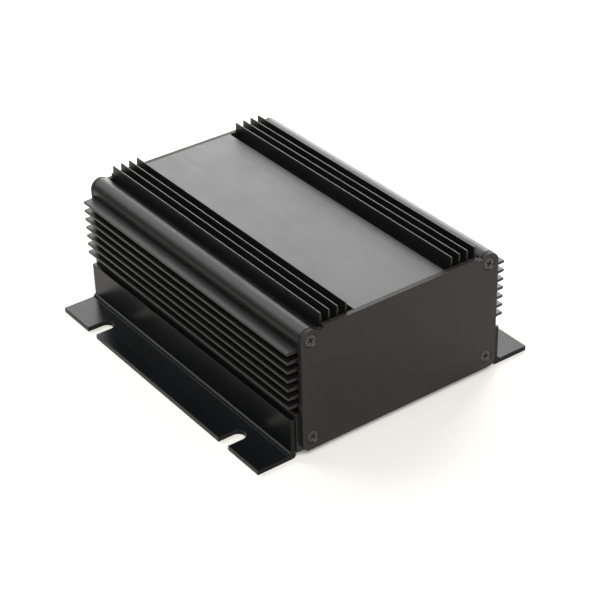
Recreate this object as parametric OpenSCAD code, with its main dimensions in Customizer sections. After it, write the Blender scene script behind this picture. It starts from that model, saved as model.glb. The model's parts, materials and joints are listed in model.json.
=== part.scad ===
// Car audio amplifier: finned extruded case, flat end plates, slotted side brackets,
// clamped power devices, two circuit boards and a rear connector panel.
// Millimetres. X runs across the case, Y runs front to rear, Z is up.
// The origin is the centre of the four bracket slots, on the mounting surface.

/* [Case] */
// Length of the extruded case, without the end plates
case_l = 166; // [164:1:190]
// Half width of the lower side wall, where the brackets sit
case_half_w = 57; // [57:0.5:58]
// Height of the case underside above the mounting surface
case_z = 3; // [2.6:0.1:3.2]
// Number of cooling fins on each side
side_fin_count = 7; // [5:1:7]
// Spacing of the side fins
side_fin_pitch = 4.62; // [4.4:0.02:4.62]
// Reach of the side fins from the centre of the case
side_fin_reach = 60.8; // [58:0.2:62]
// Number of cooling fins in each top bank
top_fin_count = 4; // [2:1:4]
// Spacing of the top fins
top_fin_pitch = 4.5; // [3.6:0.1:4.5]
// Height of the top fin tips above the mounting surface
top_fin_z = 69.8; // [66:0.2:74]

/* [End plates] */
// Thickness of the front and rear plates
plate_t = 2.4; // [2:0.1:3]
// Width of both end plates
plate_w = 110; // [109:0.5:112]
// Radius of the lower corners of the end plates
plate_corner_r = 3.5; // [2:0.5:6]

/* [Brackets] */
// Thickness of the bracket metal
bracket_t = 2.5; // [2.4:0.1:3]
// Length of each bracket
bracket_l = 165; // [150:1:166]
// Reach of each bracket foot from the centre of the case
foot_reach = 77.4; // [76:0.2:84]
// Height of the bracket web
web_h = 21; // [20:0.5:23]
// Width of the open slots in the feet
slot_w = 7.5; // [6:0.5:8]
// Distance between the slots of one foot
slot_pitch_y = 112; // [90:1:130]
// Distance between the round slot ends across the case
slot_pitch_x = 139; // [139:0.5:142]

/* [Controls] */
// Radius of the gain and crossover knobs
knob_r = 5.5; // [5:0.1:6.5]
// Length of the knobs
knob_l = 9; // [7:0.5:12]

/* [Hidden] */

$fn = 48;
eps = 0.01;
fit = 0.05;
gap = 0.3;

// case section
wall_x = 54;
inner_x = 50;
pad_z = 23.5;
floor_t = 2.5;
trough_z = 61.2;
roof_z = 58;
panel_z = 64.7;
panel_half_w = 25.1;
panel_cavity_half_w = 22;
panel_cavity_z = 61.5;
side_fin_root_t = 1.9;
side_fin_tip_t = 1.3;
side_fin_tip_r = 0.25;
first_fin_z = 28.05;
top_fin_root_t = 1.6;
top_fin_tip_t = 0.7;
top_fin_tip_r = 0.3;
top_fin_x = 42.8;
bead_r = 5.5;
screw_x = 49.7;
screw_top_z = 59.7;
screw_low_z = 9.8;
boss_r = 3.6;
rail_depth = 2.8;
rail_t = 1.4;
rail_gap = 2;

// end plates
plate_low_z = 3.3;
ear_r = 5.3;
ear_dip = 1.3;
ear_dip_x = 43;
front_y = -case_l / 2;
rear_y = case_l / 2;
rear_face_y = rear_y + plate_t;

// M3 hardware
m3_r = 1.45;
m3_tap_r = 1.5;
m3_clear_r = 1.65;
head_r = 2.75;
head_h = 1.9;
recess_w = 0.8;
recess_l = 3.2;
recess_d = 1.1;
flush_head_r = 2.8;
flush_rim = 0.15;
flush_sink = 0.35;
end_screw_l = 10;
bracket_screw_y = 60;
bracket_screw_z = 16.1;
bracket_head_r = 2.45;
web_hole_depth = 2.1;

// boards
board_t = 1.6;
board_half_w = inner_x - gap;
board_z = 20.4;
board_top = board_z + board_t;
board_front_y = -72;
board_rear_y = rear_y - 0.5;
preamp_z = 44.4;
preamp_top = preamp_z + board_t;
preamp_l = 42.5;

// power devices, clamped to the side walls
device_count = 4;
device_pitch = 16;
device_first_y = -52;
device_w = 10;
device_t = 4.5;
device_low_z = 27;
device_body_h = 9;
tab_t = 1.3;
tab_h = 5.5;
tab_hole_r = 1.8;
leg_w = 0.8;
leg_t = 0.5;
leg_pitch = 2.54;
leg_back = 3;
pad_t = 0.5;
pad_h = 15.5;
clamp_t = 3;
clamp_h = 6;
clamp_z = 31.5;
clamp_mid_y = device_first_y + device_pitch * (device_count - 1) / 2;
clamp_l = 76;
clamp_screw_pitch = 34;
clamp_depth = 3.6;
device_x = inner_x - pad_t;
clamp_x = device_x - device_t;

// transformer and choke
transformer_y = -18;
transformer_r = 20;
transformer_bore_r = 7;
transformer_h = 17;
choke_x = 28;
choke_y = 24;
choke_r = 9;
choke_bore_r = 3;
choke_h = 9;
washer_r = 12;
bolt_r = 2;

// capacitors
capacitor_r = 8;
capacitor_h = 25;
capacitor_y = -57;
capacitor_pitch = 18;

// rear connectors
block_w = 31;
block_y = 66;
block_rear_y = 97;
block_h = 16;
power_x = -31;
speaker_x = 31;
power_poles = 3;
power_pitch = 10;
power_wire_r = 3.1;
speaker_poles = 4;
speaker_pitch = 7.5;
speaker_wire_r = 2.2;
wire_z = 28.5;
clamp_screw_y = 91.5;
power_clamp_r = 2.3;
speaker_clamp_r = 1.8;
contact_t = 0.5;
contact_y = 77;
contact_l = 18;

// fuses
holder_w = 23;
holder_h = 17.5;
holder_y = 64;
holder_rear_y = 87;
fuse_w = 19.2;
fuse_t = 5.2;
fuse_y = 79.3;
fuse_l = 11.7;
fuse_low_z = 26.4;
fuse_high_z = 35.1;
blade_w = 5.2;
blade_t = 0.7;
blade_l = 8;
blade_x = 6.9;
clip_t = 0.5;

// input sockets
rca_z = 51.5;
rca_x = -32;
rca_pitch = 14;
rca_block_w = 26;
rca_r = 4.15;
rca_bore_r = 3.5;
rca_hole_r = 2;
rca_l = 9.6;
rca_collar = 0.4;
rca_block_y = 70;

// controls
control_z = 52;
gain_x = 5;
crossover_x = 22;
shaft_r = 3;
shaft_fit = 0.06;
pot_w = 10;
pot_y = 70;
pot_h = 11;
bush_r = 3.7;
knob_y = rear_face_y + 0.6;
switch_x = -11;
switch_w = 14;
switch_travel = 2;
switch_z = 50;
slider_w = 4;
slider_h = 3.4;
led_x = 36;
led_r = 1.5;

module mirror_x() {
    children();
    mirror([1, 0, 0]) children();
}

// stands a drawing of the case section up along the Y axis
module along_y(y0, l) {
    translate([0, y0 + l, 0])
        rotate([90, 0, 0])
            linear_extrude(height = l) children();
}

module rod_y(r, y0, l, x, z) {
    translate([x, y0, z])
        rotate([-90, 0, 0])
            cylinder(r = r, h = l);
}

module rod_x(r, x0, l, y, z) {
    translate([x0, y, z])
        rotate([0, 90, 0])
            cylinder(r = r, h = l);
}

module block(x0, x1, y0, y1, z0, z1) {
    translate([x0, y0, z0]) cube([x1 - x0, y1 - y0, z1 - z0]);
}

// ---- case ----

// a tapered fin along X, from x0 out to x1, with rounded corners at its tip
module fin_section(x0, x1, root_t, tip_t, r) {
    polygon([[x0, -root_t / 2], [x1 - r, -tip_t / 2], [x1 - r, tip_t / 2], [x0, root_t / 2]]);
    translate([x1 - 2 * r, r - tip_t / 2]) square([2 * r, tip_t - 2 * r]);
    for (s = [-1, 1])
        translate([x1 - r, s * (tip_t / 2 - r)]) circle(r = r);
}

module side_fin_section() {
    for (i = [0 : side_fin_count - 1])
        translate([0, first_fin_z + i * side_fin_pitch])
            fin_section(wall_x - 1, side_fin_reach, side_fin_root_t, side_fin_tip_t, side_fin_tip_r);
}

module top_fin_section() {
    for (i = [0 : top_fin_count - 1])
        translate([top_fin_x - i * top_fin_pitch, 0])
            rotate(90)
                fin_section(trough_z - 1, top_fin_z, top_fin_root_t, top_fin_tip_t, top_fin_tip_r);
}

module rail_section(z) {
    translate([inner_x - rail_depth, z - rail_t]) square([rail_depth + 1, rail_t]);
    translate([inner_x - rail_depth, z + rail_gap]) square([rail_depth + 1, rail_t]);
}

module half_section() {
    difference() {
        union() {
            translate([0, case_z]) square([wall_x, trough_z - case_z]);
            translate([0, case_z]) square([case_half_w, pad_z - case_z]);
            translate([0, trough_z - 1]) square([panel_half_w, panel_z - trough_z + 1]);
            translate([screw_x, screw_top_z]) circle(r = bead_r);
            side_fin_section();
            top_fin_section();
        }
        difference() {
            union() {
                translate([-1, case_z + floor_t]) square([inner_x + 1, roof_z - case_z - floor_t]);
                translate([-1, roof_z - 1]) square([panel_cavity_half_w + 1, panel_cavity_z - roof_z + 1]);
            }
            translate([screw_x, screw_top_z]) circle(r = boss_r);
            translate([screw_x, screw_low_z]) circle(r = boss_r);
            translate([screw_x - boss_r, case_z]) square([boss_r + 1, screw_low_z - case_z]);
            rail_section(board_z - 0.2);
            rail_section(preamp_z - 0.2);
        }
        translate([screw_x, screw_top_z]) circle(r = m3_tap_r);
        translate([screw_x, screw_low_z]) circle(r = m3_tap_r);
    }
}

module case_body() {
    color("#1c1e20")
        difference() {
            along_y(front_y, case_l) {
                half_section();
                mirror([1, 0]) half_section();
            }
            mirror_x() {
                for (s = [-1, 1])
                    rod_x(m3_clear_r, inner_x - 1, case_half_w - inner_x + 2, s * bracket_screw_y,
                        bracket_screw_z);
                for (i = [-1 : 1])
                    rod_x(m3_tap_r, inner_x - 1, clamp_depth + 1,
                        clamp_mid_y + i * clamp_screw_pitch, clamp_z);
            }
        }
}

// ---- end plates ----

module plate_section() {
    half = plate_w / 2;
    low = plate_low_z + plate_corner_r;
    translate([-half, low]) square([plate_w, screw_top_z - low]);
    translate([-half + plate_corner_r, plate_low_z])
        square([plate_w - 2 * plate_corner_r, plate_corner_r + 1]);
    translate([-ear_dip_x, screw_top_z - 1]) square([2 * ear_dip_x, panel_z - screw_top_z + 1]);
    translate([-screw_x, screw_top_z - 1]) square([2 * screw_x, panel_z - ear_dip - screw_top_z + 1]);
    for (s = [-1, 1]) {
        translate([s * (half - plate_corner_r), low]) circle(r = plate_corner_r);
        translate([s * screw_x, screw_top_z]) circle(r = ear_r);
    }
}

// puts a screw or its hole at each corner of the plate whose outer face is at y
module at_plate_corners(y, outward) {
    for (i = [0 : 3])
        translate([(i % 2 == 0 ? -1 : 1) * screw_x, y, i < 2 ? screw_low_z : screw_top_z])
            rotate([-90 * outward, 0, 0])
                rotate([0, 0, 40 + i * 37])
                    children();
}

// clearance hole and countersink of a flush screw, the plate face at z = 0
module flush_hole() {
    mouth_r = flush_head_r + flush_rim + flush_sink + fit;
    translate([0, 0, -plate_t - 1]) cylinder(r = m3_clear_r, h = plate_t + 2);
    translate([0, 0, m3_clear_r - mouth_r])
        cylinder(r1 = m3_clear_r, r2 = mouth_r + 1, h = mouth_r - m3_clear_r + 1);
}

module front_plate() {
    color("#3a3836")
        difference() {
            along_y(front_y - plate_t, plate_t) plate_section();
            at_plate_corners(front_y - plate_t, -1) flush_hole();
        }
}

module rear_plate() {
    y0 = rear_y - 1;
    y1 = rear_face_y + 1;
    color("#3a3836")
        difference() {
            along_y(rear_y, plate_t) plate_section();
            at_plate_corners(rear_face_y, 1) flush_hole();
            block(power_x - block_w / 2 - gap, power_x + block_w / 2 + gap, y0, y1,
                board_top - gap, board_top + block_h + gap);
            block(speaker_x - block_w / 2 - gap, speaker_x + block_w / 2 + gap, y0, y1,
                board_top - gap, board_top + block_h + gap);
            block(-holder_w / 2 - gap, holder_w / 2 + gap, y0, y1,
                board_top - gap, board_top + holder_h + gap);
            for (s = [-1, 1])
                rod_y(rca_r + rca_collar + gap, y0, plate_t + 2, rca_x + s * rca_pitch / 2, rca_z);
            rod_y(bush_r + gap, y0, plate_t + 2, gain_x, control_z);
            rod_y(bush_r + gap, y0, plate_t + 2, crossover_x, control_z);
            rod_y(led_r + fit, y0, plate_t + 2, led_x, control_z);
            block(switch_x - slider_w / 2 - switch_travel - gap,
                switch_x + slider_w / 2 + switch_travel + gap,
                y0, y1, switch_z - slider_h / 2 - gap, switch_z + slider_h / 2 + gap);
        }
}

module cross_recess(top) {
    for (a = [0, 90])
        rotate([0, 0, a])
            translate([-recess_l / 2, -recess_w / 2, top - recess_d])
                cube([recess_l, recess_w, recess_d + 1]);
}

// a cross-recessed M3 pan-head screw, head up, its seat at z = 0
module pan_screw(l, r) {
    difference() {
        union() {
            translate([0, 0, -l]) cylinder(r = m3_r, h = l + eps);
            cylinder(r = r, h = head_h * 0.5);
            translate([0, 0, head_h * 0.5]) cylinder(r1 = r, r2 = r * 0.68, h = head_h * 0.5);
        }
        cross_recess(head_h);
    }
}

// a cross-recessed M3 countersunk screw, seated with the plate face at z = 0
module flush_screw(l) {
    rim_z = -flush_sink - flush_rim;
    cone_z = rim_z - flush_head_r + m3_r;
    difference() {
        union() {
            translate([0, 0, -l]) cylinder(r = m3_r, h = l + cone_z + eps);
            translate([0, 0, cone_z]) cylinder(r1 = m3_r, r2 = flush_head_r, h = rim_z - cone_z);
            translate([0, 0, rim_z]) cylinder(r = flush_head_r, h = flush_rim);
        }
        cross_recess(-flush_sink);
    }
}

module front_plate_screws() {
    color("#2b2b2c") at_plate_corners(front_y - plate_t, -1) flush_screw(end_screw_l);
}

module rear_plate_screws() {
    color("#2b2b2c") at_plate_corners(rear_face_y, 1) flush_screw(end_screw_l);
}

// ---- brackets ----

module bracket_section() {
    fold_x = case_half_w + bracket_t;
    fold_r = 2;
    translate([case_half_w, fold_r]) square([bracket_t, web_h - fold_r]);
    translate([case_half_w + fold_r, 0]) square([foot_reach - case_half_w - fold_r, bracket_t]);
    translate([case_half_w + fold_r, fold_r]) circle(r = fold_r);
    difference() {
        translate([fold_x - eps, bracket_t - eps]) square([fold_r + eps, fold_r + eps]);
        translate([fold_x + fold_r, bracket_t + fold_r]) circle(r = fold_r);
    }
}

module right_bracket_shape() {
    difference() {
        along_y(-bracket_l / 2, bracket_l) bracket_section();
        for (s = [-1, 1]) {
            translate([slot_pitch_x / 2, s * slot_pitch_y / 2, -1]) cylinder(d = slot_w, h = bracket_t + 2);
            translate([slot_pitch_x / 2, s * slot_pitch_y / 2 - slot_w / 2, -1])
                cube([foot_reach, slot_w, bracket_t + 2]);
            rod_x(m3_tap_r, case_half_w - 1, web_hole_depth + 1, s * bracket_screw_y, bracket_screw_z);
        }
    }
}

module left_bracket() {
    color("#151617") mirror([1, 0, 0]) right_bracket_shape();
}

module right_bracket() {
    color("#151617") right_bracket_shape();
}

module bracket_screws() {
    color("#77797b")
        mirror_x()
            for (s = [-1, 1])
                translate([inner_x, s * bracket_screw_y, bracket_screw_z])
                    rotate([0, -90, 0])
                        pan_screw(case_half_w - inner_x + web_hole_depth - 0.2, bracket_head_r);
}

// ---- boards ----

module main_board() {
    color("#1d5a34")
        difference() {
            block(-board_half_w, board_half_w, board_front_y, board_rear_y, board_z, board_top);
            translate([0, transformer_y, board_z - 1]) cylinder(r = bolt_r + 0.2, h = board_t + 2);
        }
}

module preamp_board() {
    color("#1d5a34")
        block(-board_half_w, board_half_w, board_rear_y - preamp_l, board_rear_y, preamp_z, preamp_top);
}

module board_link() {
    color("#161616") block(38, 42, 44, 64, board_top, preamp_z);
}

module control_chip() {
    color("#1a1a1b") {
        block(-38, -18, 20, 26.5, board_top + 0.8, board_top + 4.4);
        for (i = [0 : 7], y = [19.2, 26.5])
            block(-37.2 + i * 2.54, -36.6 + i * 2.54, y, y + 0.8, board_top, board_top + 2.4);
    }
}

module preamp_chips() {
    color("#1a1a1b")
        for (x = [-30, -8, 14]) {
            block(x, x + 9.6, 46, 52.4, preamp_top + 0.8, preamp_top + 4.2);
            for (i = [0 : 3], y = [45.2, 52.4])
                block(x + 0.7 + i * 2.54, x + 1.3 + i * 2.54, y, y + 0.8, preamp_top, preamp_top + 2.2);
        }
}

module signal_capacitors() {
    color("#26344f")
        for (i = [0 : 5])
            translate([-35 + i * 12, 61, preamp_top]) {
                cylinder(d = 5, h = 7);
                translate([0, 0, 7]) cylinder(d1 = 5, d2 = 4.2, h = 0.4);
            }
}

// ---- power devices ----

module device(y) {
    difference() {
        union() {
            block(device_x - device_t, device_x, y - device_w / 2, y + device_w / 2,
                device_low_z, device_low_z + device_body_h);
            block(device_x - tab_t, device_x, y - device_w / 2, y + device_w / 2,
                device_low_z + device_body_h - 1, device_low_z + device_body_h + tab_h);
        }
        rod_x(tab_hole_r, device_x - tab_t - 1, tab_t + 2, y, device_low_z + device_body_h + tab_h / 2);
    }
    for (i = [-1 : 1])
        block(device_x - leg_back, device_x - leg_back + leg_t, y + i * leg_pitch - leg_w / 2,
            y + i * leg_pitch + leg_w / 2, board_top, device_low_z + 1);
}

module device_row() {
    for (i = [0 : device_count - 1])
        device(device_first_y + i * device_pitch);
}

module output_transistors() {
    color("#202022") mirror([1, 0, 0]) device_row();
}

module supply_transistors() {
    color("#202022") device_row();
}

module insulating_pad() {
    l = device_pitch * (device_count - 1) + device_w + 2;
    difference() {
        block(device_x, inner_x, clamp_mid_y - l / 2, clamp_mid_y + l / 2, device_low_z - 0.5,
            device_low_z - 0.5 + pad_h);
        rod_x(m3_clear_r, device_x - 1, pad_t + 2, clamp_mid_y, clamp_z);
    }
}

module left_insulating_pad() {
    color("#b9bcae") mirror([1, 0, 0]) insulating_pad();
}

module right_insulating_pad() {
    color("#b9bcae") insulating_pad();
}

module clamp_bar() {
    difference() {
        block(clamp_x - clamp_t, clamp_x, clamp_mid_y - clamp_l / 2, clamp_mid_y + clamp_l / 2,
            clamp_z - clamp_h / 2, clamp_z + clamp_h / 2);
        for (i = [-1 : 1])
            rod_x(m3_clear_r, clamp_x - clamp_t - 1, clamp_t + 2,
                clamp_mid_y + i * clamp_screw_pitch, clamp_z);
    }
}

module left_clamp_bar() {
    color("#b4b7ba") mirror([1, 0, 0]) clamp_bar();
}

module right_clamp_bar() {
    color("#b4b7ba") clamp_bar();
}

module clamp_screws() {
    color("#77797b")
        mirror_x()
            for (i = [-1 : 1])
                translate([clamp_x - clamp_t, clamp_mid_y + i * clamp_screw_pitch, clamp_z])
                    rotate([0, -90, 0])
                        pan_screw(inner_x - clamp_x + clamp_t + clamp_depth - 0.4, head_r);
}

// ---- transformer and choke ----

module rounded_ring(r0, r1, h, c) {
    rotate_extrude() {
        translate([r0 + c, 0]) square([r1 - r0 - 2 * c, h]);
        translate([r0, c]) square([r1 - r0, h - 2 * c]);
        for (x = [r0 + c, r1 - c], z = [c, h - c])
            translate([x, z]) circle(r = c);
    }
}

module ring(r0, r1, z0, z1) {
    rotate_extrude() translate([r0, z0]) square([r1 - r0, z1 - z0]);
}

module transformer_core() {
    color("#3c3c3e")
        translate([0, transformer_y, board_top + gap])
            ring(transformer_bore_r + 3, transformer_r - 3, 3, transformer_h - 3);
}

module transformer_winding() {
    color("#a4572a")
        translate([0, transformer_y, board_top + gap])
            difference() {
                rounded_ring(transformer_bore_r, transformer_r, transformer_h, 2.5);
                ring(transformer_bore_r + 3 - fit, transformer_r - 3 + fit, 3 - fit,
                    transformer_h - 3 + fit);
            }
}

module transformer_washer() {
    z = board_top + gap + transformer_h;
    color("#8e9093")
        translate([0, transformer_y, 0])
            ring(bolt_r + 0.2, washer_r, z, z + 1.5);
}

module transformer_bolt() {
    z = board_top + gap + transformer_h + 1.5;
    color("#77797b")
        translate([0, transformer_y, 0])
            difference() {
                union() {
                    translate([0, 0, board_z - 4]) cylinder(r = bolt_r, h = z - board_z + 4 + eps);
                    translate([0, 0, board_z - 3]) cylinder(r = 3.6, h = 3, $fn = 6);
                    translate([0, 0, z]) cylinder(r = 3.6, h = 2.4);
                }
                translate([-2.4, -0.5, z + 1.4]) cube([4.8, 1, 2]);
            }
}

module choke_core() {
    color("#6d7a3c")
        translate([choke_x, choke_y, board_top])
            ring(choke_bore_r + 1.5, choke_r - 1.5, 1.5, choke_h - 1.5);
}

module choke_winding() {
    color("#a4572a")
        translate([choke_x, choke_y, board_top])
            difference() {
                rounded_ring(choke_bore_r, choke_r, choke_h, 1.4);
                ring(choke_bore_r + 1.5 - fit, choke_r - 1.5 + fit, 1.5 - fit, choke_h - 1.5 + fit);
            }
}

module reservoir_capacitors() {
    color("#1c2b45")
        for (i = [-1.5 : 1 : 1.5])
            translate([i * capacitor_pitch, capacitor_y, board_top])
                difference() {
                    union() {
                        cylinder(r = capacitor_r, h = capacitor_h - 0.6);
                        translate([0, 0, capacitor_h - 0.6])
                            cylinder(r1 = capacitor_r, r2 = capacitor_r - 0.6, h = 0.6);
                    }
                    for (a = [0, 90])
                        rotate([0, 0, a])
                            translate([-5, -0.25, capacitor_h - 0.4]) cube([10, 0.5, 1]);
                }
}

// ---- wire terminals ----

module terminal_block(x, poles, pitch, wire_r, screw_r) {
    half = wire_r + contact_t + fit;
    difference() {
        block(x - block_w / 2, x + block_w / 2, block_y, block_rear_y, board_top, board_top + block_h);
        for (i = [0 : poles - 1])
            translate([x + (i - (poles - 1) / 2) * pitch, 0, 0]) {
                block(-half, half, contact_y - fit, block_rear_y + 1, wire_z - half, wire_z + half);
                translate([0, clamp_screw_y, wire_z]) cylinder(r = screw_r + 2 * fit, h = block_h);
            }
    }
}

// square cages with a round wire hole
module terminal_contacts(x, poles, pitch, wire_r, screw_r) {
    half = wire_r + contact_t;
    for (i = [0 : poles - 1])
        translate([x + (i - (poles - 1) / 2) * pitch, 0, 0])
            difference() {
                block(-half, half, contact_y, contact_y + contact_l, wire_z - half, wire_z + half);
                rod_y(wire_r, contact_y + 1, contact_l, 0, wire_z);
                translate([0, clamp_screw_y, wire_z]) cylinder(r = screw_r + 2 * fit, h = block_h);
            }
}

module terminal_screws(x, poles, pitch, wire_r, screw_r) {
    z0 = wire_z + wire_r + 0.1;
    z1 = board_top + block_h - 0.8;
    for (i = [0 : poles - 1])
        translate([x + (i - (poles - 1) / 2) * pitch, clamp_screw_y, 0])
            difference() {
                translate([0, 0, z0]) cylinder(r = screw_r, h = z1 - z0);
                translate([-screw_r - 1, -0.4, z1 - 1]) cube([2 * screw_r + 2, 0.8, 2]);
            }
}

module power_terminal_block() {
    color("#181819") terminal_block(power_x, power_poles, power_pitch, power_wire_r, power_clamp_r);
}

module power_terminal_contacts() {
    color("#c9a24a") terminal_contacts(power_x, power_poles, power_pitch, power_wire_r, power_clamp_r);
}

module power_terminal_screws() {
    color("#c4c6c8") terminal_screws(power_x, power_poles, power_pitch, power_wire_r, power_clamp_r);
}

module speaker_terminal_block() {
    color("#181819") terminal_block(speaker_x, speaker_poles, speaker_pitch, speaker_wire_r,
        speaker_clamp_r);
}

module speaker_terminal_contacts() {
    color("#c9a24a") terminal_contacts(speaker_x, speaker_poles, speaker_pitch, speaker_wire_r,
        speaker_clamp_r);
}

module speaker_terminal_screws() {
    color("#c4c6c8") terminal_screws(speaker_x, speaker_poles, speaker_pitch, speaker_wire_r,
        speaker_clamp_r);
}

// ---- fuses ----

module fuse_holder() {
    color("#181819")
        difference() {
            block(-holder_w / 2, holder_w / 2, holder_y, holder_rear_y, board_top, board_top + holder_h);
            for (z = [fuse_low_z, fuse_high_z]) {
                block(-fuse_w / 2 - gap, fuse_w / 2 + gap, fuse_y - gap, holder_rear_y + 1,
                    z - fuse_t / 2 - gap, z + fuse_t / 2 + gap);
                for (s = [-1, 1])
                    block(s * blade_x - blade_w / 2 - gap, s * blade_x + blade_w / 2 + gap,
                        fuse_y - blade_l - 1, fuse_y,
                        z - blade_t / 2 - gap - clip_t, z + blade_t / 2 + gap + clip_t);
            }
        }
}

module fuse_clips() {
    color("#c9a24a")
        for (z = [fuse_low_z, fuse_high_z], s = [-1, 1])
            difference() {
                block(s * blade_x - blade_w / 2, s * blade_x + blade_w / 2, fuse_y - blade_l - 0.9,
                    fuse_y - 1.5, z - blade_t / 2 - 0.1 - clip_t, z + blade_t / 2 + 0.1 + clip_t);
                block(s * blade_x - blade_w, s * blade_x + blade_w, fuse_y - blade_l - 0.3, fuse_y,
                    z - blade_t / 2 - 0.1, z + blade_t / 2 + 0.1);
            }
}

module fuse_cap(z) {
    difference() {
        union() {
            block(-fuse_w / 2, fuse_w / 2, fuse_y + fuse_l - 3.2, fuse_y + fuse_l, z - fuse_t / 2,
                z + fuse_t / 2);
            block(-fuse_w / 2 + 0.8, fuse_w / 2 - 0.8, fuse_y, fuse_y + fuse_l - 3,
                z - fuse_t / 2 + 0.6, z + fuse_t / 2 - 0.6);
        }
        block(-2.2, 2.2, fuse_y + fuse_l - 1, fuse_y + fuse_l + 1, z - 1.4, z + 1.4);
    }
}

module fuse_blades(z) {
    for (s = [-1, 1])
        block(s * blade_x - blade_w / 2, s * blade_x + blade_w / 2, fuse_y - blade_l, fuse_y,
            z - blade_t / 2, z + blade_t / 2);
}

module upper_fuse_cap() {
    color("#4d86b8") fuse_cap(fuse_high_z);
}

module upper_fuse_blades() {
    color("#c4c6c8") fuse_blades(fuse_high_z);
}

module lower_fuse_cap() {
    color("#4d86b8") fuse_cap(fuse_low_z);
}

module lower_fuse_blades() {
    color("#c4c6c8") fuse_blades(fuse_low_z);
}

// ---- input sockets ----

module rca_housing() {
    color("#181819")
        difference() {
            block(rca_x - rca_block_w / 2, rca_x + rca_block_w / 2, rca_block_y, rear_y - 1.1,
                preamp_top, preamp_top + 11);
            for (s = [-1, 1])
                rod_y(rca_bore_r, rear_y - 5, 5, rca_x + s * rca_pitch / 2, rca_z);
        }
}

module rca_shells() {
    color("#c8cacc")
        for (s = [-1, 1])
            translate([rca_x + s * rca_pitch / 2, 0, rca_z])
                difference() {
                    union() {
                        rod_y(rca_r, rear_y, plate_t + rca_l, 0, 0);
                        rod_y(rca_r + rca_collar, rear_y - 1.1, plate_t + 1.1, 0, 0);
                        rod_y(rca_r + 1, rear_y - 1.1, 1, 0, 0);
                    }
                    rod_y(rca_bore_r, rear_y - 3, plate_t + rca_l + 4, 0, 0);
                }
}

module rca_insert(x) {
    difference() {
        rod_y(rca_bore_r - fit, rear_y - 5, plate_t + 5 + rca_l - 1.2, x, rca_z);
        rod_y(rca_hole_r, rear_y - 3, plate_t + rca_l + 4, x, rca_z);
    }
}

module rca_insert_white() {
    color("#e6e4dd") rca_insert(rca_x - rca_pitch / 2);
}

module rca_insert_red() {
    color("#a81f1c") rca_insert(rca_x + rca_pitch / 2);
}

module rca_contacts() {
    color("#c9a24a")
        for (s = [-1, 1])
            difference() {
                rod_y(rca_hole_r - fit, rear_y - 2.9, plate_t + rca_l, rca_x + s * rca_pitch / 2, rca_z);
                rod_y(rca_hole_r - 0.35, rear_y - 2, plate_t + rca_l + 1, rca_x + s * rca_pitch / 2, rca_z);
            }
}

// ---- controls ----

module pot(x) {
    difference() {
        union() {
            block(x - pot_w / 2, x + pot_w / 2, pot_y, rear_y - 0.5, preamp_top, preamp_top + pot_h);
            rod_y(bush_r, rear_y - 1, plate_t + 1, x, control_z);
        }
        rod_y(shaft_r + shaft_fit, rear_y - 7, plate_t + 10, x, control_z);
    }
}

module pot_shaft(x) {
    difference() {
        rod_y(shaft_r, rear_y - 6.7, knob_y - rear_y + 6.7 + knob_l - 2, x, control_z);
        block(x + shaft_r * 0.55, x + shaft_r + 1, knob_y + 1, knob_y + knob_l, control_z - shaft_r,
            control_z + shaft_r);
    }
}

module knob(x) {
    grip_count = 18;
    difference() {
        union() {
            rod_y(knob_r, knob_y, knob_l - 0.8, x, control_z);
            translate([x, knob_y + knob_l - 0.8, control_z])
                rotate([-90, 0, 0])
                    cylinder(r1 = knob_r, r2 = knob_r - 0.8, h = 0.8);
        }
        difference() {
            rod_y(shaft_r + fit, knob_y - 1, knob_l - 0.9, x, control_z);
            block(x + shaft_r * 0.55 + fit, x + shaft_r + 1, knob_y + 1 + fit, knob_y + knob_l,
                control_z - shaft_r - 1, control_z + shaft_r + 1);
        }
        for (i = [0 : grip_count - 1])
            translate([x, knob_y + 1.5, control_z])
                rotate([0, i * 360 / grip_count + 180 / grip_count, 0])
                    translate([0, 0, knob_r + 0.25])
                        rotate([-90, 0, 0])
                            cylinder(r = 0.6, h = knob_l);
        block(x - 0.4, x + 0.4, knob_y + knob_l - 0.5, knob_y + knob_l + 1, control_z + 1,
            control_z + knob_r + 1);
    }
}

module gain_pot() {
    color("#5d6063") pot(gain_x);
}

module gain_shaft() {
    color("#9a9da0") pot_shaft(gain_x);
}

module gain_knob() {
    color("#161617") knob(gain_x);
}

module crossover_pot() {
    color("#5d6063") pot(crossover_x);
}

module crossover_shaft() {
    color("#9a9da0") pot_shaft(crossover_x);
}

module crossover_knob() {
    color("#161617") knob(crossover_x);
}

module filter_switch() {
    reach = slider_w / 2 + switch_travel + gap;
    color("#8b8d90")
        difference() {
            block(switch_x - switch_w / 2, switch_x + switch_w / 2, 73, rear_y, preamp_top, preamp_top + 8);
            block(switch_x - reach, switch_x + reach, 78, rear_y + 1,
                switch_z - slider_h / 2 - gap, switch_z + slider_h / 2 + gap);
        }
}

module filter_slider() {
    tip_y = rear_face_y + 3.4;
    color("#161617")
        difference() {
            block(switch_x - slider_w / 2, switch_x + slider_w / 2, 78 + gap, tip_y,
                switch_z - slider_h / 2, switch_z + slider_h / 2);
            for (i = [-1 : 1])
                block(switch_x + i - 0.2, switch_x + i + 0.2, tip_y - 0.5, tip_y + 1,
                    switch_z - slider_h, switch_z + slider_h);
        }
}

module power_led() {
    color("#c23a2e") {
        rod_y(led_r, rear_y - 3, plate_t + 4, led_x, control_z);
        rod_y(led_r + 0.35, rear_y - 4, 1.2, led_x, control_z);
        translate([led_x, rear_face_y + 1, control_z]) sphere(r = led_r);
        for (s = [-1, 1])
            block(led_x + s * 0.9 - 0.25, led_x + s * 0.9 + 0.25, rear_y - 3.8, rear_y - 3.2,
                preamp_top, control_z);
    }
}

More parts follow.
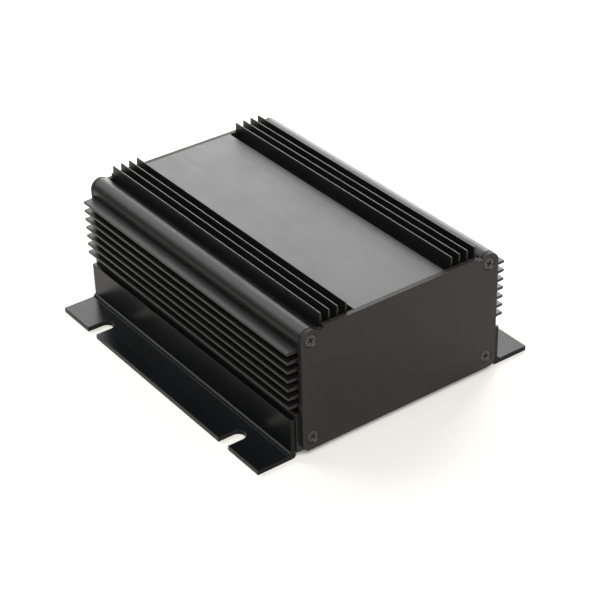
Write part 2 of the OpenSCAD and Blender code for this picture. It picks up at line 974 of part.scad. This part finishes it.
case_body();
front_plate();
rear_plate();
front_plate_screws();
rear_plate_screws();
left_bracket();
right_bracket();
bracket_screws();
main_board();
preamp_board();
board_link();
output_transistors();
supply_transistors();
left_insulating_pad();
right_insulating_pad();
left_clamp_bar();
right_clamp_bar();
clamp_screws();
transformer_core();
transformer_winding();
transformer_washer();
transformer_bolt();
reservoir_capacitors();
choke_core();
choke_winding();
control_chip();
preamp_chips();
signal_capacitors();
power_terminal_block();
power_terminal_contacts();
power_terminal_screws();
speaker_terminal_block();
speaker_terminal_contacts();
speaker_terminal_screws();
fuse_holder();
fuse_clips();
upper_fuse_cap();
upper_fuse_blades();
lower_fuse_cap();
lower_fuse_blades();
rca_housing();
rca_shells();
rca_insert_white();
rca_insert_red();
rca_contacts();
gain_pot();
gain_shaft();
gain_knob();
crossover_pot();
crossover_shaft();
crossover_knob();
filter_switch();
filter_slider();
power_led();
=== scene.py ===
"""Looks of the car audio amplifier: materials, rounded edges, small printed and painted details,
floor, light and camera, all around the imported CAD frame. Metres, in the frame of the CAD."""

import json
import math

import bmesh
import bpy
from mathutils import Matrix, Vector


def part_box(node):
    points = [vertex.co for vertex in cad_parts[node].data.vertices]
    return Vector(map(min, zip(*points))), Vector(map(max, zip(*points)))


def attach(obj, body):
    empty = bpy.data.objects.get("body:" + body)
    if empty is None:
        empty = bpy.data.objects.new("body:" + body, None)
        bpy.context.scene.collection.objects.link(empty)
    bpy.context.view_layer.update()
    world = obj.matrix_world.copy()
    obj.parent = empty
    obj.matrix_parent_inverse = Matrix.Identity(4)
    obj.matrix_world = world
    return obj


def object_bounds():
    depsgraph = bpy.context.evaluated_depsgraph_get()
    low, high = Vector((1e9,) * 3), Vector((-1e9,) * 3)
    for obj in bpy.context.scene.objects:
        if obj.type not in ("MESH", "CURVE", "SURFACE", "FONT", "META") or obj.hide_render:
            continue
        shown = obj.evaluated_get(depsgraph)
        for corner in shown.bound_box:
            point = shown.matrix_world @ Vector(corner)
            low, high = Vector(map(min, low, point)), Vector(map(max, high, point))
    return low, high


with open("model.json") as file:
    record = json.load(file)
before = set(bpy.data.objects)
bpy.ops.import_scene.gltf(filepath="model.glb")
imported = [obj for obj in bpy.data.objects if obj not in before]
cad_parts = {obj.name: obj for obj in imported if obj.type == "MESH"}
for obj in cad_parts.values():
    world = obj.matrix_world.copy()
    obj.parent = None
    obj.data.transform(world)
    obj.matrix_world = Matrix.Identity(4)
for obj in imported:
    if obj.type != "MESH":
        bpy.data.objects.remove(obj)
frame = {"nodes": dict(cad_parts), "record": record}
nodes = frame["nodes"]
slot_of = {p["node"]: p["material_slot"] for p in frame["record"]["subparts"]}
cad_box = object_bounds()
scene = bpy.context.scene
MM = 0.001
MICRON = 0.001 * MM


# ---- node trees ----


class Finish:
    """One procedural material. Every pattern is laid in object space, which is the row frame."""

    def __init__(self, name, roughness, metallic=0.0, **plain):
        self.mat = bpy.data.materials.new(name)
        self.mat.use_nodes = True
        self.tree = self.mat.node_tree
        self.tree.nodes.clear()
        out = self.tree.nodes.new("ShaderNodeOutputMaterial")
        self.bsdf = self.tree.nodes.new("ShaderNodeBsdfPrincipled")
        self.tree.links.new(self.bsdf.outputs[0], out.inputs[0])
        self.bsdf.inputs["Roughness"].default_value = roughness
        self.bsdf.inputs["Metallic"].default_value = metallic
        for key, value in plain.items():
            self.bsdf.inputs[key.replace("_", " ")].default_value = value
        self.place = self.tree.nodes.new("ShaderNodeTexCoord").outputs["Object"]
        self.height = None

    def node(self, kind, settings=None, **inputs):
        n = self.tree.nodes.new("ShaderNode" + kind)
        for key, value in (settings or {}).items():
            setattr(n, key, value)
        for key, value in inputs.items():
            self.feed(n.inputs[key.replace("_", " ")], value)
        return n

    def feed(self, socket, value):
        if isinstance(value, bpy.types.NodeSocket):
            self.tree.links.new(value, socket)
        else:
            socket.default_value = value

    def at(self, stretch=(1, 1, 1), offset=(0, 0, 0)):
        return self.node("Mapping", Vector=self.place, Scale=stretch, Location=offset).outputs[0]

    def noise(self, scale, detail=3.0, rough=0.55, stretch=(1, 1, 1)):
        n = self.node("TexNoise", Vector=self.at(stretch), Scale=scale, Detail=detail, Roughness=rough)
        return n.outputs["Fac"]

    def span(self, value, low, high, a, b):
        """Carries low to high over to a to b, and holds at both ends."""
        n = self.node("MapRange", Value=value)
        for key, v in (("From Min", low), ("From Max", high), ("To Min", a), ("To Max", b)):
            n.inputs[key].default_value = v
        return n.outputs[0]

    def math(self, operation, a, b=0.0):
        n = self.node("Math", {"operation": operation})
        self.feed(n.inputs[0], a)
        self.feed(n.inputs[1], b)
        return n.outputs[0]

    def axis(self, name):
        return self.node("SeparateXYZ", Vector=self.place).outputs[name]

    def blend(self, share, a, b):
        n = self.node("Mix", {"data_type": "RGBA"})
        for index, value in ((0, share), (6, a), (7, b)):
            if isinstance(value, tuple) and len(value) == 3:
                value = (*value, 1.0)
            self.feed(n.inputs[index], value)
        return n.outputs[2]

    def edge(self, radius):
        """1 along sharp edges, 0 on open faces."""
        bevel = self.node("Bevel", {"samples": 4}, Radius=radius)
        face = self.node("NewGeometry").outputs["Normal"]
        dot = self.node("VectorMath", {"operation": "DOT_PRODUCT"})
        self.tree.links.new(bevel.outputs[0], dot.inputs[0])
        self.tree.links.new(face, dot.inputs[1])
        return self.span(self.math("SUBTRACT", 1.0, dot.outputs["Value"]), 0.03, 0.35, 0, 1)

    def colour(self, value):
        if isinstance(value, tuple):
            value = (*value, 1.0)
        self.feed(self.bsdf.inputs["Base Color"], value)

    def rough(self, value):
        self.feed(self.bsdf.inputs["Roughness"], value)

    def relief(self, height, depth, strength=1.0):
        """Adds a bump of the given depth in metres on top of what is there."""
        n = self.node("Bump", Height=height, Strength=strength, Distance=depth)
        if self.height is not None:
            self.tree.links.new(self.height, n.inputs["Normal"])
        self.height = n.outputs[0]
        self.feed(self.bsdf.inputs["Normal"], self.height)


def grain_stretch(along, share):
    """Draws a pattern out along one axis, or along none."""
    return tuple(share if axis == along else 1.0 for axis in "XYZ")


def anodised(name, tint, roughness, along, ior=1.4, cut_roughness=None):
    """Dyed anodised aluminium: die or rolling lines along one axis, a fine etched grain, faint
    clouding, and bare metal showing thinly on sharp edges. A cut roughness is for the sheared
    edges of a plate that stands across Y."""
    f = Finish(name, roughness, IOR=ior)
    stretch = grain_stretch(along, 0.012)
    lines = f.noise(2600, 2.0, 0.6, stretch)
    streaks = f.noise(420, 2.0, 0.5, stretch)
    cloud = f.noise(38, 4.0, 0.6)
    grain = f.noise(9000, 1.0, 0.5)
    dark = tuple(0.6 * c for c in tint)
    base = f.blend(f.span(cloud, 0.3, 0.7, 0, 1), dark, tint)
    base = f.blend(f.span(streaks, 0.45, 0.8, 0, 0.35), base, tuple(1.9 * c for c in tint))
    worn = f.math("MULTIPLY", f.edge(0.35 * MM), f.span(f.noise(700, 4.0, 0.7), 0.45, 0.62, 0, 0.2))
    f.colour(f.blend(worn, base, (0.32, 0.32, 0.33)))
    patches = f.span(cloud, 0.25, 0.75, -0.035, 0.035)
    shift = f.math("ADD", patches, f.span(streaks, 0.2, 0.8, -0.02, 0.02))
    level = roughness
    if cut_roughness:
        normal = f.node("NewGeometry").outputs["Normal"]
        facing = f.math("ABSOLUTE", f.node("SeparateXYZ", Vector=normal).outputs["Y"])
        level = f.span(facing, 0.3, 0.8, cut_roughness, roughness)
        tears = f.noise(1500, 3.0, 0.7, grain_stretch("Y", 0.05))
        f.relief(tears, 30 * MICRON, f.span(facing, 0.3, 0.8, 0.5, 0))
    f.rough(f.math("ADD", shift, level))
    f.relief(lines, 4 * MICRON, 0.35)
    f.relief(grain, 6 * MICRON, 0.25)
    return f.mat


def metal(name, tint, roughness, along=None):
    """Plated or bare metal with handling haze and, if along is given, a drawn grain."""
    f = Finish(name, roughness, 1.0)
    lines = f.noise(3000, 2.0, 0.6, grain_stretch(along, 0.02))
    haze = f.noise(260, 4.0, 0.6)
    f.colour(f.blend(f.span(haze, 0.3, 0.75, 0, 1), tint, tuple(0.72 * c for c in tint)))
    f.rough(f.math("ADD", f.span(haze, 0.3, 0.7, -0.08, 0.08), roughness))
    f.relief(lines, 5 * MICRON, 0.4)
    return f.mat


def plastic(name, tint, roughness, texture=10 * MICRON, scale=2600, **plain):
    """Moulded plastic with a spark-eroded texture of the given depth, slight clouding and rubbed
    edges."""
    f = Finish(name, roughness, **plain)
    cloud = f.noise(120, 3.0, 0.6)
    skin = f.noise(scale, 3.0, 0.6)
    base = f.blend(f.span(cloud, 0.3, 0.7, 0, 1), tuple(0.85 * c for c in tint), tint)
    rub = f.math("MULTIPLY", f.edge(0.3 * MM), f.span(f.noise(900, 3.0, 0.6), 0.4, 0.65, 0, 0.35))
    f.colour(f.blend(rub, base, tuple(min(1.0, 1.5 * c + 0.02) for c in tint)))
    f.rough(f.math("ADD", f.span(skin, 0.25, 0.75, -0.05, 0.07), roughness))
    f.relief(skin, texture, 0.5)
    return f.mat


def circuit_board():
    """Green solder mask over copper tracks, with a bare laminate edge."""
    f = Finish("circuit_board", 0.32, Coat_Weight=0.3, Coat_Roughness=0.15)
    tracks = f.node("TexBrick", {"offset": 0.35, "squash": 0.6}, Vector=f.at((1, 1, 0.001)), Scale=130.0)
    tracks.inputs["Mortar Size"].default_value = 0.07
    tracks.inputs["Mortar Smooth"].default_value = 0.2
    track = tracks.outputs["Fac"]
    weave = f.noise(1500, 2.0, 0.5)
    mask = f.blend(f.span(weave, 0.3, 0.7, 0, 1), (0.010, 0.072, 0.030), (0.016, 0.095, 0.040))
    f.colour(f.blend(track, mask, (0.035, 0.17, 0.060)))
    f.rough(f.span(weave, 0.3, 0.7, 0.26, 0.38))
    f.relief(track, 30 * MICRON, 0.6)
    f.relief(weave, 10 * MICRON, 0.3)
    return f.mat


def winding(name, node, turns):
    """Enamelled copper turns laid round the ring core of a node, coloured with painted shade in the
    grooves between the turns and a painted highlight on their crests.
    """
    f = Finish(name, 0.25, 0.75, Coat_Weight=0.6, Coat_Roughness=0.12)
    low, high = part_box(node)
    centre = (low + high) / 2
    moved = f.at(offset=(-centre.x, -centre.y, 0))
    part = f.node("SeparateXYZ", Vector=moved)
    angle = f.math("ARCTAN2", part.outputs["Y"], part.outputs["X"])
    wave = f.math("SINE", f.math("MULTIPLY", angle, float(turns)))
    slip = f.noise(300, 3.0, 0.6)
    ridges_and_painted_shade = f.span(wave, -1, 1, 0, 1)
    # painted shade in the grooves between the turns and a painted highlight on their crests; the same
    # ridges also make the bump below
    f.colour(f.blend(ridges_and_painted_shade, (0.13, 0.030, 0.010), (0.62, 0.23, 0.085)))
    f.rough(f.span(slip, 0.3, 0.7, 0.2, 0.36))
    f.relief(ridges_and_painted_shade, 0.4 * MM, 0.9)
    return f.mat


def sleeve(name, node, stripe):
    """Shrunk sleeve with a paler stripe, and a bare aluminium top, for a node of capacitors."""
    f = Finish(name, 0.3, Coat_Weight=0.4, Coat_Roughness=0.2)
    top_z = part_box(node)[1].z
    bare = f.span(f.axis("Z"), top_z - 0.4 * MM, top_z - 0.2 * MM, 0, 1)
    haze = f.noise(500, 3.0, 0.6)
    band = f.span(f.node("TexWave", Vector=f.at(), Scale=stripe).outputs["Fac"], 0.9, 0.94, 0, 1)
    wrap = f.blend(f.span(haze, 0.3, 0.7, 0, 1), (0.010, 0.018, 0.045), (0.014, 0.026, 0.062))
    wrap = f.blend(band, wrap, (0.30, 0.34, 0.40))
    f.colour(f.blend(bare, wrap, (0.62, 0.63, 0.65)))
    f.feed(f.bsdf.inputs["Metallic"], bare)
    f.rough(f.span(haze, 0.3, 0.7, 0.24, 0.38))
    f.relief(haze, 20 * MICRON, 0.4)
    return f.mat


# one finish for each material slot of the record, and the paint of the printed marks
FINISHES = {
    "black_anodised_case": anodised("black_anodised_case", (0.0022, 0.0022, 0.0023), 0.44, "Y"),
    "grey_anodised_plate": anodised(
        "grey_anodised_plate", (0.0048, 0.0042, 0.0030), 0.36, "X", ior=1.35, cut_roughness=0.6
    ),
    "black_bracket": anodised("black_bracket", (0.0012, 0.0014, 0.0019), 0.31, "Y", ior=1.25),
    "black_screw": plastic("black_screw", (0.012, 0.011, 0.010), 0.30, 6 * MICRON, 5000),
    "zinc_screw": metal("zinc_screw", (0.60, 0.60, 0.58), 0.30),
    "circuit_board": circuit_board(),
    "black_moulding": plastic("black_moulding", (0.013, 0.013, 0.014), 0.42),
    "device_epoxy": plastic("device_epoxy", (0.018, 0.018, 0.019), 0.60, 20 * MICRON, 4000),
    "silicone_pad": plastic("silicone_pad", (0.42, 0.43, 0.38), 0.62, 20 * MICRON, 3000),
    "clamp_metal": metal("clamp_metal", (0.66, 0.67, 0.68), 0.34, "Y"),
    "ferrite": plastic("ferrite", (0.045, 0.045, 0.050), 0.55, 30 * MICRON, 2200),
    "enamelled_wire": winding("enamelled_wire", "transformer_winding", 96),
    "capacitor_sleeve": sleeve("capacitor_sleeve", "reservoir_capacitors", 12.0),
    "brass_contact": metal("brass_contact", (0.78, 0.56, 0.24), 0.28),
    "nickel": metal("nickel", (0.70, 0.69, 0.66), 0.20),
    "fuse_blue": plastic("fuse_blue", (0.035, 0.16, 0.42), 0.22, 6 * MICRON, Coat_Weight=0.3),
    "white_insert": plastic("white_insert", (0.74, 0.73, 0.69), 0.34, 8 * MICRON),
    "red_insert": plastic("red_insert", (0.42, 0.018, 0.016), 0.34, 8 * MICRON),
    "pot_metal": metal("pot_metal", (0.48, 0.49, 0.50), 0.36),
    "knob_plastic": plastic("knob_plastic", (0.014, 0.014, 0.015), 0.46, 14 * MICRON, 3600),
    "red_lens": plastic("red_lens", (0.36, 0.012, 0.010), 0.12, 2 * MICRON, Transmission_Weight=0.35),
    "white_paint": plastic("white_paint", (0.70, 0.70, 0.68), 0.5, 8 * MICRON, 5000),
}

# nodes whose finish is laid out from their own place, in place of their slot's
OWN = {
    "choke_winding": winding("choke_wire", "choke_winding", 44),
    "signal_capacitors": sleeve("signal_sleeve", "signal_capacitors", 30.0),
}


# ---- carried-over CAD nodes ----


def welder():
    """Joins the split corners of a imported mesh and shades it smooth, ready for rounding."""
    group = bpy.data.node_groups.new("weld", "GeometryNodeTree")
    group.interface.new_socket("Geometry", in_out="INPUT", socket_type="NodeSocketGeometry")
    group.interface.new_socket("Geometry", in_out="OUTPUT", socket_type="NodeSocketGeometry")
    put = group.nodes.new
    first, last = put("NodeGroupInput"), put("NodeGroupOutput")
    merge = put("GeometryNodeMergeByDistance")
    merge.inputs["Distance"].default_value = 2 * MICRON
    strip = put("GeometryNodeRemoveAttribute")
    strip.inputs["Name"].default_value = "custom_normal"
    sharp = put("GeometryNodeRemoveAttribute")
    sharp.inputs["Name"].default_value = "sharp_edge"
    smooth = put("GeometryNodeSetShadeSmooth")
    chain = [first, merge, strip, sharp, smooth, last]
    for a, b in zip(chain, chain[1:]):
        source = next(s for s in a.outputs if s.type == "GEOMETRY")
        target = next(s for s in b.inputs if s.type == "GEOMETRY")
        group.links.new(source, target)
    return group


WELD = welder()


def round_edges(o, width):
    """Merges the flat faces of a CAD node and rounds its edges, with the vertices left in place."""
    m = o.modifiers.new("weld", "NODES")
    m.node_group = WELD
    m = o.modifiers.new("flats", "DECIMATE")
    m.decimate_type = "DISSOLVE"
    m.angle_limit = math.radians(0.4)
    m = o.modifiers.new("edges", "BEVEL")
    m.width = width
    m.segments = 2
    m.limit_method = "ANGLE"
    m.angle_limit = math.radians(32)
    m.harden_normals = True
    m.use_clamp_overlap = True
    m.miter_outer = "MITER_ARC"


# edge rounding in mm: the usual one, and the nodes that have another
USUAL_ROUNDING = 0.1
ROUNDING = {
    "case_body": 0.22,
    "front_plate": 0.3,
    "rear_plate": 0.3,
    "left_bracket": 0.3,
    "right_bracket": 0.3,
    "power_terminal_block": 0.35,
    "speaker_terminal_block": 0.35,
    "fuse_holder": 0.3,
    "rca_shells": 0.15,
    "rca_insert_white": 0.15,
    "rca_insert_red": 0.15,
    "gain_knob": 0.12,
    "crossover_knob": 0.12,
    "upper_fuse_cap": 0.3,
    "lower_fuse_cap": 0.3,
}
for name, o in nodes.items():
    o.data.materials.clear()
    o.data.materials.append(OWN.get(name) or FINISHES[slot_of[name]])
    round_edges(o, ROUNDING.get(name, USUAL_ROUNDING) * MM)


# ---- printed, painted and moulded details ----


def slabs(name, parts, finish, body, rounding):
    """One piece made of small rounded blocks. Each part is its centre, its size and its turn about Y."""
    bm = bmesh.new()
    for centre, size, turned in parts:
        placed = Matrix.Translation(centre) @ Matrix.Rotation(turned, 4, "Y")
        bmesh.ops.create_cube(bm, size=1.0, matrix=placed @ Matrix.Diagonal((*size, 1.0)))
    mesh = bpy.data.meshes.new(name)
    bm.to_mesh(mesh)
    bm.free()
    mesh.materials.append(FINISHES[finish])
    o = bpy.data.objects.new(name, mesh)
    scene.collection.objects.link(o)
    m = o.modifiers.new("edges", "BEVEL")
    m.width = rounding
    m.segments = 2
    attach(o, body)
    return o


# printed marks on the rear plate: their thickness, their stroke, and the plane of their centres
PRINT = 0.03 * MM
STROKE = 0.4 * MM
panel_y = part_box("rear_plate")[1].y + PRINT / 2

# the marks of a control, spread evenly over its travel
MARKS = 11
TRAVEL = math.radians(300)
MARK_GAP = 1.9 * MM
LONG_MARK = 1.9 * MM
SHORT_MARK = 1.2 * MM

# the line in a knob's groove: its size, and where it is from the knob's face and axis
POINTER = Vector((0.7, 0.2, 3.4)) * MM
POINTER_DEPTH = 0.38 * MM
POINTER_OUT = 2.95 * MM


def scale_marks(name, knob):
    """Printed marks round a control, longer at both ends and in the middle."""
    low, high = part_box(knob)
    middle = (low + high) / 2
    radius = (high.x - low.x) / 2 + MARK_GAP
    parts = []
    for i in range(MARKS):
        a = TRAVEL * (i / (MARKS - 1) - 0.5)
        length = LONG_MARK if i % (MARKS // 2) == 0 else SHORT_MARK
        centre = Vector((middle.x + radius * math.sin(a), panel_y, middle.z + radius * math.cos(a)))
        parts.append((centre, (STROKE, PRINT, length), a))
    slabs(name, parts, "white_paint", "amplifier", PRINT / 4)


def pointer(name, knob, body):
    """The painted line in the groove of a knob."""
    low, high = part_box(knob)
    middle = (low + high) / 2
    centre = Vector((middle.x, high.y - POINTER_DEPTH, middle.z + POINTER_OUT))
    slabs(name, [(centre, POINTER, 0.0)], "white_paint", body, 0.06 * MM)


for control in ("gain", "crossover"):
    scale_marks(control + "_scale", control + "_knob")
    pointer(control + "_pointer", control + "_knob", control + "_control")


# signs over the terminals: their width and height, and their height over the block
SIGN = 2.2 * MM
SIGN_RISE = 2.6 * MM
SQUARE = 1.3 * MM
EARTH_STEP = 0.8 * MM
EARTH_STEM = 1.5 * MM


def bar(x, z, width, height):
    """One printed stroke of a sign."""
    return (Vector((x, panel_y, z)), (width, PRINT, height), 0.0)


def sign(x, z, shape):
    """Strokes of a plus, a minus, an earth or a square sign, centred at x and z."""
    if shape == "plus":
        return [bar(x, z, SIGN, STROKE), bar(x, z, STROKE, SIGN)]
    if shape == "minus":
        return [bar(x, z, SIGN, STROKE)]
    if shape == "earth":
        steps = [bar(x, z - i * EARTH_STEP, SIGN * (1 - 0.3 * i), STROKE) for i in range(3)]
        return steps + [bar(x, z + EARTH_STEM / 2, STROKE, EARTH_STEM)]
    return [bar(x, z, SQUARE, SQUARE)]


SIGNS = {"power_wire_terminal": "plus", "remote_wire_terminal": "square", "ground_wire_terminal": "earth"}
strokes = []
terminals = {"power_terminal_block": set(), "speaker_terminal_block": set()}
for mount in frame["record"]["mounts"]:
    if "wire_terminal" not in mount["name"]:
        continue
    block = "speaker_terminal_block" if mount["name"].startswith("speaker") else "power_terminal_block"
    last = mount["name"][-1]
    shape = SIGNS.get(mount["name"]) or ("plus" if last in "13" else "minus")
    x = mount["pos_m"][0]
    strokes += sign(x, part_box(block)[1].z + SIGN_RISE, shape)
    terminals[block].add(x)
slabs("terminal_signs", strokes, "white_paint", "amplifier", PRINT / 4)

# ribs on top of each block, at its ends and between its terminals, sunk a little into it and kept
# clear of the plate and of the block's front edge
RIB = 0.9 * MM
RIB_INSET = 0.6 * MM
RIB_CENTRE_RISE = 0.25 * MM
RIB_FROM_PLATE = 1.2 * MM
RIB_FROM_FRONT = 0.5 * MM
for block, poles in terminals.items():
    low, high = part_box(block)
    poles = sorted(poles)
    pitch = poles[1] - poles[0]
    start, end = panel_y + RIB_FROM_PLATE, high.y - RIB_FROM_FRONT
    parts = []
    for x in [poles[0] - pitch / 2] + [pole + pitch / 2 for pole in poles]:
        x = min(max(x, low.x + RIB_INSET), high.x - RIB_INSET)
        centre = Vector((x, (start + end) / 2, high.z + RIB_CENTRE_RISE))
        parts.append((centre, (RIB, end - start, RIB), 0.0))
    slabs(block + "_ribs", parts, "black_moulding", "amplifier", 0.15 * MM)


# ---- floor, light, camera ----


def paper():
    """Matt white paper, a little warm."""
    f = Finish("paper", 0.75)
    cloud = f.noise(3.0, 3.0, 0.5)
    f.colour(f.blend(f.span(cloud, 0.3, 0.7, 0, 1), (0.625, 0.618, 0.592), (0.640, 0.632, 0.607)))
    f.relief(f.noise(900, 3.0, 0.6), 30 * MICRON, 0.2)
    return f.mat


def disc(name, radius, z):
    """A round sheet, facing up."""
    sides = 96
    mesh = bpy.data.meshes.new(name)
    turns = [2 * math.pi * i / sides for i in range(sides)]
    rim = [(radius * math.cos(a), radius * math.sin(a), 0) for a in turns]
    mesh.from_pydata(rim, [], [tuple(range(sides))])
    o = bpy.data.objects.new(name, mesh)
    o.location.z = z
    scene.collection.objects.link(o)
    return o


floor = disc("floor", 0.32, cad_box[0].z - 20 * MICRON)
floor.data.materials.append(paper())


CENTRE = Vector((0, 0, 0.03))


def toward(azimuth, elevation, distance):
    """A point seen from the object at this azimuth (0 is +Y, 90 is +X) and elevation."""
    a, e = math.radians(azimuth), math.radians(elevation)
    return CENTRE + distance * Vector((math.sin(a) * math.cos(e), math.cos(a) * math.cos(e), math.sin(e)))


def softbox(name, place, width, height, radiance, tint=(1, 1, 1)):
    """A rectangular lamp aimed at the object, as bright as its radiance whatever its size."""
    data = bpy.data.lights.new(name, "AREA")
    data.shape = "RECTANGLE"
    data.size, data.size_y = width, height
    data.energy = radiance * math.pi * width * height
    data.color = tint
    o = bpy.data.objects.new(name, data)
    o.location = place
    o.rotation_mode = "QUATERNION"
    o.rotation_quaternion = (CENTRE - place).to_track_quat("-Z", "Y")
    o.visible_camera = False
    scene.collection.objects.link(o)


softbox("back_softbox", toward(45, 22, 1.5), 1.4, 1.4, 6.5)
softbox("top_softbox", toward(-19, 41, 1.5), 1.3, 0.9, 4.1)
softbox("front_softbox", toward(202, 45, 1.85), 1.5, 1.2, 10.4, (1.0, 0.985, 0.955))

# strength of the room's light on the object, and of the white that the camera sees behind it
SKY = 0.3
BACKDROP = 1.05
world = bpy.data.worlds.new("studio")
world.use_nodes = True
sky = world.node_tree
glow = sky.nodes["Background"]
glow.inputs["Color"].default_value = (1.0, 0.995, 0.985, 1.0)
glow.inputs["Strength"].default_value = SKY
backdrop = sky.nodes.new("ShaderNodeBackground")
backdrop.inputs["Color"].default_value = (1.0, 1.0, 1.0, 1.0)
backdrop.inputs["Strength"].default_value = BACKDROP
ray = sky.nodes.new("ShaderNodeLightPath")
pick = sky.nodes.new("ShaderNodeMixShader")
sky.links.new(ray.outputs["Is Camera Ray"], pick.inputs[0])
sky.links.new(glow.outputs[0], pick.inputs[1])
sky.links.new(backdrop.outputs[0], pick.inputs[2])
sky.links.new(pick.outputs[0], sky.nodes["World Output"].inputs["Surface"])
scene.world = world

# Camera at the viewing angle of the photograph, found from the corners of the object. It looks
# at HEADING degrees from +Y towards +X, DIP degrees below the horizon, and is tipped by ROLL.
EYE = Vector((-0.416411, -0.590625, 0.480171))
HEADING = 35.407
DIP = 32.476
ROLL = -1.633
lens = bpy.data.cameras.new("camera")
lens.sensor_width = 36.0
lens.lens = 109.56
lens.clip_start, lens.clip_end = 0.05, 60.0
camera = bpy.data.objects.new("camera", lens)
camera.matrix_world = (
    Matrix.Translation(EYE)
    @ Matrix.Rotation(math.radians(-HEADING), 4, "Z")
    @ Matrix.Rotation(math.radians(90 - DIP), 4, "X")
    @ Matrix.Rotation(math.radians(ROLL), 4, "Z")
)
scene.collection.objects.link(camera)
scene.camera = camera

scene.view_settings.view_transform = "Standard"
